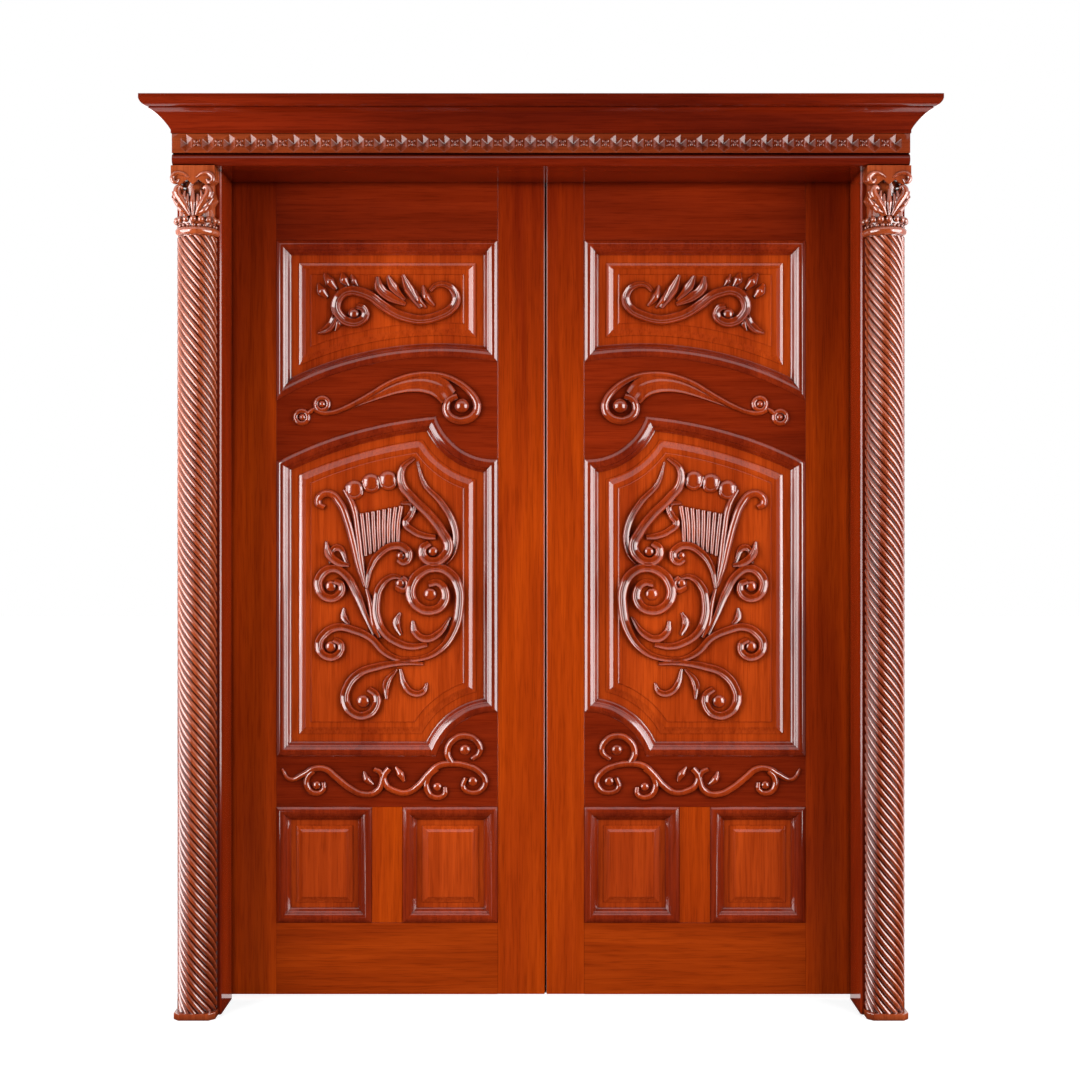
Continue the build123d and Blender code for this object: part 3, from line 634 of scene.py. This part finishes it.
def main_parts():
    at = (middle_x, tablet_face, main_foot)
    string_count = 8
    strings = [
        stem(
            at,
            10,
            [(-66 + 14.6 * i, 628 + 2.8 * i), (-60 + 12.8 * i, 574 + 4 * i), (-55 + 11.8 * i, 519 + 5 * i)],
            band_swell,
            rounded,
        )
        for i in range(string_count)
    ]
    return strings + [
        stem(at, 19, [(70, 772), (40, 745), (38, 708), (68, 666), (111, 623), (147, 574), (160, 544),
                      (146, 515), (118, 503), (96, 515), (93, 538), (110, 552)]),
        stem(at, 13, [(78, 762), (98, 704), (141, 656), (172, 600), (176, 548), (155, 505), (123, 492)],
                      leaf_swell),
        boss(at, 10, 118, 530, 6),
        boss(at, 17, -85, 692, 7),
        boss(at, 17, -42, 709, 7),
        boss(at, 17, 2, 716, 7),
        stem(at, 9, [(-104, 700), (-96, 672), (-70, 676), (-66, 694)], band_swell, rounded),
        stem(at, 9, [(-62, 714), (-50, 690), (-28, 692), (-24, 710)], band_swell, rounded),
        stem(at, 9, [(-20, 724), (-6, 696), (16, 698), (24, 718)], band_swell, rounded),
        stem(at, 15, [(-58, 440), (-73, 490), (-88, 556), (-103, 611), (-122, 656), (-148, 680),
                      (-172, 674), (-178, 654), (-162, 644)], stem_swell, rounded),
        stem(at, 12, [(-56, 446), (-66, 500), (-76, 581), (-88, 648), (-110, 690)], stem_swell, rounded),
        stem(at, 14, [(36, 656), (66, 650), (60, 622), (48, 604), (66, 584), (98, 570), (126, 567)],
                      stem_swell),
        stem(at, 16, [(-54, 436), (-42, 489), (-18, 525), (19, 545), (48, 537), (57, 518), (44, 502),
                      (28, 510)]),
        boss(at, 8, 36, 520, 5),
        stem(at, 17, [(-158, 556), (-150, 524), (-128, 502), (-98, 494)], leaf_swell),
        stem(at, 14, [(-150, 500), (-130, 540), (-104, 500)], leaf_swell),
        stem(at, 17, [(-34, 316), (-54, 361), (-79, 421), (-109, 470), (-140, 486), (-172, 466),
                      (-176, 434), (-154, 410), (-124, 418), (-118, 444), (-136, 454)]),
        boss(at, 11, -146, 440, 6),
        stem(at, 13, [(-112, 384), (-112, 360), (-98, 342)], leaf_swell),
        stem(at, 16, [(86, 252), (37, 250), (-6, 269), (-42, 306), (-85, 326), (-127, 334), (-162, 316),
                      (-176, 284), (-156, 258), (-126, 264), (-120, 290), (-138, 302)]),
        boss(at, 11, -146, 284, 6),
        stem(at, 19, [(20, 252), (86, 253), (135, 275), (172, 324), (187, 385), (184, 440), (160, 476),
                      (124, 488), (86, 474), (65, 446), (62, 414), (84, 384), (120, 378), (146, 396),
                      (150, 428), (132, 449), (108, 446)]),
        boss(at, 12, 112, 420, 6),
        stem(at, 16, [(38, 462), (12, 464), (-16, 440), (-28, 396), (-24, 352), (-6, 318), (24, 296),
                      (62, 284), (104, 290)]),
        stem(at, 13, [(22, 438), (46, 430), (54, 448), (40, 464)], band_swell, rounded),
        boss(at, 9, 34, 448, 6),
        stem(at, 13, [(-54, 434), (-42, 392), (-34, 342), (-20, 308)], stem_swell, rounded),
        stem(at, 15, [(34, 372), (24, 346), (36, 314)], leaf_swell),
        stem(at, 15, [(164, 360), (134, 318), (98, 304), (72, 322), (66, 350)], leaf_swell),
        stem(at, 17, [(94, 240), (40, 242), (-24, 232), (-73, 214), (-103, 177), (-108, 140), (-85, 110),
                      (-54, 107), (-30, 128), (-28, 158), (-48, 174)]),
        boss(at, 12, -62, 142, 6),
        stem(at, 15, [(26, 226), (0, 190), (-2, 148)], leaf_swell),
        stem(at, 13, [(104, 190), (92, 166), (66, 164), (46, 184), (34, 226)], leaf_swell),
    ]


def lower_parts():
    at = (middle_x, leaf_face, lower_foot)
    return [
        stem(at, 13, [(-272, 98), (-252, 72), (-216, 84), (-189, 99), (-159, 98), (-132, 77), (-98, 50),
                      (-60, 33), (-30, 38), (-13, 62), (-16, 88), (-34, 98)], stem_swell, rounded),
        stem(at, 12, [(-190, 94), (-206, 76), (-206, 52), (-188, 36), (-166, 44), (-164, 64)],
                      band_swell, rounded),
        boss(at, 8, -182, 56, 5),
        stem(at, 14, [(-60, 92), (-52, 72), (-36, 58)], leaf_swell, rounded),
        stem(at, 13, [(6, 100), (-8, 80), (-2, 56), (20, 42), (50, 37), (80, 54), (107, 84), (134, 107),
                      (168, 112), (206, 107), (238, 92), (254, 68), (246, 46), (221, 37), (198, 50),
                      (204, 76)], band_swell, rounded),
        boss(at, 9, 222, 66, 5),
        stem(at, 14, [(22, 104), (34, 86), (44, 66)], leaf_swell, rounded),
        stem(at, 13, [(168, 112), (156, 140), (170, 172), (202, 184), (234, 168), (240, 142),
                      (220, 124)], band_swell, rounded),
        boss(at, 10, 202, 148, 6),
        stem(at, 12, [(130, 100), (106, 76), (104, 44), (122, 26), (148, 32), (150, 52)], band_swell,
                      rounded),
        boss(at, 8, 130, 52, 5),
    ]


for side in ("left", "right"):
    finished("top_carving", side, top_parts(), carving_wood, carving_smooth)
    finished("rail_carving", side, rail_parts(), carving_wood, carving_smooth)
    finished("main_carving", side, main_parts(), carving_wood, carving_smooth)
    finished("lower_carving", side, lower_parts(), carving_wood, carving_smooth)

# Capital carving: a rounded neck ring, two rows of beads, and two acanthus leaves that open from a central
# stem under the scrolled abacus. It is all cut in the capital's own wood.
capital_leaf = [
    (15, [(7, 48), (16, 66), (29, 86), (39, 104), (34, 116), (25, 112)]),
    (10, [(12, 54), (27, 60), (40, 74)]),
    (10, [(20, 66), (36, 74), (49, 90)]),
    (10, [(29, 82), (42, 92), (50, 106)]),
    (10, [(8, 62), (13, 80), (12, 100)]),
    (9, [(14, 76), (22, 92), (20, 108)]),
    (9, [(8, 140), (26, 150), (44, 148), (50, 136), (42, 128), (34, 136)]),
]
abacus_foot = 120
cushion_reach = 0.052
bead_rows = ((0.051, 0.040, 0.0085, 9), (0.046, 0.026, 0.0052, 11))
bead_sweep = 84
neck_height = 0.012
for name in ("capital_left", "capital_right"):
    capital_low, capital_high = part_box(name)
    capital_x = (capital_low[0] + capital_high[0]) / 2
    leaf_at = (capital_x, jamb_face - cushion_reach, capital_low[2])
    abacus_at = (capital_x, capital_low[1] + 0.001, capital_low[2])
    cuts = [stem(leaf_at, 12, [(0, 46), (0, 78), (0, 112)], leaf_swell, rounded)]
    for hand in (-1, 1):
        for width, points in capital_leaf:
            at = abacus_at if points[0][1] > abacus_foot else leaf_at
            cuts.append(stem(at, width, [(hand * right, up) for right, up in points], leaf_swell, rounded))
    for radius, height, size, count in bead_rows:
        for i in range(count):
            angle = radians(-bead_sweep + 2 * bead_sweep * i / (count - 1))
            across, out = radius * sin(angle), radius * cos(angle)
            place = (capital_x + across, jamb_face - out, capital_low[2] + height)
            bpy.ops.mesh.primitive_uv_sphere_add(segments=12, ring_count=8, radius=size, location=place)
            bpy.ops.object.transform_apply(location=True, rotation=False, scale=False)
            cuts.append(bpy.context.object)
    bpy.ops.mesh.primitive_torus_add(
        location=(capital_x, jamb_face, capital_low[2] + neck_height),
        major_radius=0.0455,
        minor_radius=0.0105,
        major_segments=72,
        minor_segments=16,
    )
    bpy.ops.object.transform_apply(location=True, rotation=False, scale=False)
    bpy.ops.object.mode_set(mode="EDIT")
    bpy.ops.mesh.select_all(action="SELECT")
    cut_at_jamb()
    bpy.ops.object.mode_set(mode="OBJECT")
    cuts.append(bpy.context.object)
    only(cuts[0])
    for cut in cuts:
        cut.select_set(True)
    bpy.ops.object.join()
    work = bpy.context.object
    work.name = name + "_leaves"
    work.data.materials.append(column_wood)
    bpy.ops.object.mode_set(mode="EDIT")
    bpy.ops.mesh.select_all(action="SELECT")
    bpy.ops.mesh.normals_make_consistent(inside=False)
    bpy.ops.object.mode_set(mode="OBJECT")
    bpy.ops.object.shade_smooth_by_angle(angle=radians(carving_smooth))
    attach(work, "frame")
for profile in (gouged, bladed, rounded):
    bpy.data.objects.remove(profile)

# Hinges: three pairs of lift-off brass hinges on each leaf, let into the jambs and the edges of the leaves.
# The lower half carries the pin, and the upper half lifts off with the leaf.
brass = bpy.data.materials.new("hinge_brass")
brass.use_nodes = True
metal = brass.node_tree.nodes["Principled BSDF"]
metal.inputs["Base Color"].default_value = stain(196, 160, 92)
metal.inputs["Metallic"].default_value = 1.0
metal.inputs["Roughness"].default_value = 0.3
for node in ("hinge_frames_left", "hinge_frames_right", "left_hinge_leaves", "right_hinge_leaves"):
    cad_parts[node].data.materials.clear()
    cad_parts[node].data.materials.append(brass)

# Meeting seal: a strip of soft black rubber pressed along the left leaf's meeting edge. Its lip closes
# nearly the whole gap to the right leaf.
seal_rubber = bpy.data.materials.new("seal_rubber")
seal_rubber.use_nodes = True
rubber = seal_rubber.node_tree.nodes["Principled BSDF"]
rubber.inputs["Base Color"].default_value = stain(24, 14, 10)
rubber.inputs["Roughness"].default_value = 0.8
lip_reach = 0.0039
seal_low, seal_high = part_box("left_meeting_seal")
seal_middle = [(low + high) / 2 for low, high in zip(seal_low, seal_high)]
bpy.ops.object.select_all(action="DESELECT")
lip_place = (seal_low[0] + lip_reach / 2, seal_middle[1], seal_middle[2])
bpy.ops.mesh.primitive_cube_add(size=1, location=lip_place)
lip = bpy.context.object
lip.name = "left_meeting_lip"
lip.scale = (lip_reach, seal_high[1] - seal_low[1], seal_high[2] - seal_low[2])
bpy.ops.object.transform_apply(location=True, rotation=False, scale=True)
applied(lip, "BEVEL", width=0.0008, segments=3, limit_method="ANGLE")
bpy.ops.object.shade_smooth_by_angle(angle=radians(40))
fitted(lip, "left_leaf", "left_meeting_seal", seal_rubber)

# Room: a pale floor that runs on into a white background, with the door's own shadow on it. Both show white
# to the lens, and light the door far less than they show.
pale = bpy.data.materials.new("pale_floor")
pale.use_nodes = True
floor_nodes, floor_links = pale.node_tree.nodes, pale.node_tree.links
paint = floor_nodes["Principled BSDF"]
paint.inputs["Base Color"].default_value = (0.75, 0.75, 0.75, 1)
paint.inputs["Roughness"].default_value = 0.9


def looked_at(nodes, links, strength):
    """How brightly a backdrop shows to the lens, straight, in a gloss or through glass, and only to it."""
    path = nodes.new("ShaderNodeLightPath")
    level = path.outputs["Is Camera Ray"]
    for name in ("Is Glossy Ray", "Is Transmission Ray"):
        either = nodes.new("ShaderNodeMath")
        either.operation = "MAXIMUM"
        links.new(level, either.inputs[0])
        links.new(path.outputs[name], either.inputs[1])
        level = either.outputs["Value"]
    share = nodes.new("ShaderNodeMath")
    share.operation = "MULTIPLY"
    share.inputs[1].default_value = strength
    links.new(level, share.inputs[0])
    return share.outputs["Value"]


glow = floor_nodes.new("ShaderNodeEmission")
both = floor_nodes.new("ShaderNodeAddShader")
floor_links.new(looked_at(floor_nodes, floor_links, 0.8), glow.inputs["Strength"])
floor_links.new(paint.outputs["BSDF"], both.inputs[0])
floor_links.new(glow.outputs["Emission"], both.inputs[1])
floor_links.new(both.outputs["Shader"], floor_nodes["Material Output"].inputs["Surface"])
bpy.ops.mesh.primitive_plane_add(size=40, location=(0, 0, -0.0005))
floor = bpy.context.object
floor.name = "floor"
floor.data.materials.append(pale)

world = bpy.data.worlds.new("studio")
bpy.context.scene.world = world
world.use_nodes = True
sky_nodes, sky_links = world.node_tree.nodes, world.node_tree.links
dim = sky_nodes["Background"]
dim.inputs["Color"].default_value = (1, 1, 1, 1)
dim.inputs["Strength"].default_value = 0.3
shown = sky_nodes.new("ShaderNodeBackground")
shown.inputs["Color"].default_value = (1, 1, 1, 1)
pick = sky_nodes.new("ShaderNodeMixShader")
sky_links.new(looked_at(sky_nodes, sky_links, 1.0), pick.inputs["Fac"])
sky_links.new(dim.outputs["Background"], pick.inputs[1])
sky_links.new(shown.outputs["Background"], pick.inputs[2])
sky_links.new(pick.outputs["Shader"], sky_nodes["World Output"].inputs["Surface"])


def softbox(name, place, aim, width, height, power):
    """A large soft lamp that faces a point on the door."""
    bpy.ops.object.light_add(type="AREA", location=place)
    lamp = bpy.context.object
    lamp.name = name
    lamp.rotation_euler = (Vector(aim) - Vector(place)).to_track_quat("-Z", "Y").to_euler()
    lamp.data.shape = "RECTANGLE"
    lamp.data.size = width
    lamp.data.size_y = height
    lamp.data.energy = power


waist, chest = (0, 0.1, 1.15), (0, 0.1, 1.2)
for side in (-1, 1):
    softbox(f"side_softbox_{side + 1}", (side * 2.9, -1.4, 1.25), chest, width=2.6, height=2.8, power=130)
    softbox(f"front_softbox_{side + 1}", (side * 3.0, -3.6, 1.9), waist, width=0.8, height=2.0, power=30)
    softbox(f"back_softbox_{side + 1}", (side * 2.6, 3.2, 1.6), waist, width=2.0, height=2.4, power=25)

# Dark cloth: hangs behind the lens and runs forward over the floor, so that the flat faces of the varnish
# have something dark to show. The lens itself looks past it.
cloth = bpy.data.materials.new("dark_cloth")
cloth.use_nodes = True
weave = cloth.node_tree.nodes["Principled BSDF"]
weave.inputs["Base Color"].default_value = (0.02, 0.018, 0.018, 1)
weave.inputs["Specular IOR Level"].default_value = 0.0
cloth_size = (5.4, 5.3, 1)
for name, place, turn in (("cloth_drop", (0, -5.2, 2.5), pi / 2), ("cloth_floor", (0, -2.55, 0.002), 0)):
    bpy.ops.mesh.primitive_plane_add(size=1, location=place, rotation=(turn, 0, 0))
    cloth_piece = bpy.context.object
    cloth_piece.name = name
    cloth_piece.scale = cloth_size
    cloth_piece.data.materials.append(cloth)
    cloth_piece.visible_camera = False
    cloth_piece.visible_shadow = False

# Camera: level, on the centre line and 4 m in front of the closed leaves. The lens is shifted a hair
# sideways, so that the door stands in the frame where the photograph has it.
camera_distance = 4.0
camera_height = 1.188
lens_shift = -1 / 1080
camera_place = (0, leaf_face - camera_distance, camera_height)
bpy.ops.object.camera_add(location=camera_place, rotation=(pi / 2, 0, 0))
camera = bpy.context.object
camera.data.lens = 51.5
camera.data.sensor_width = 36
camera.data.shift_x = lens_shift
bpy.context.scene.camera = camera
bpy.context.scene.view_settings.view_transform = "Standard"
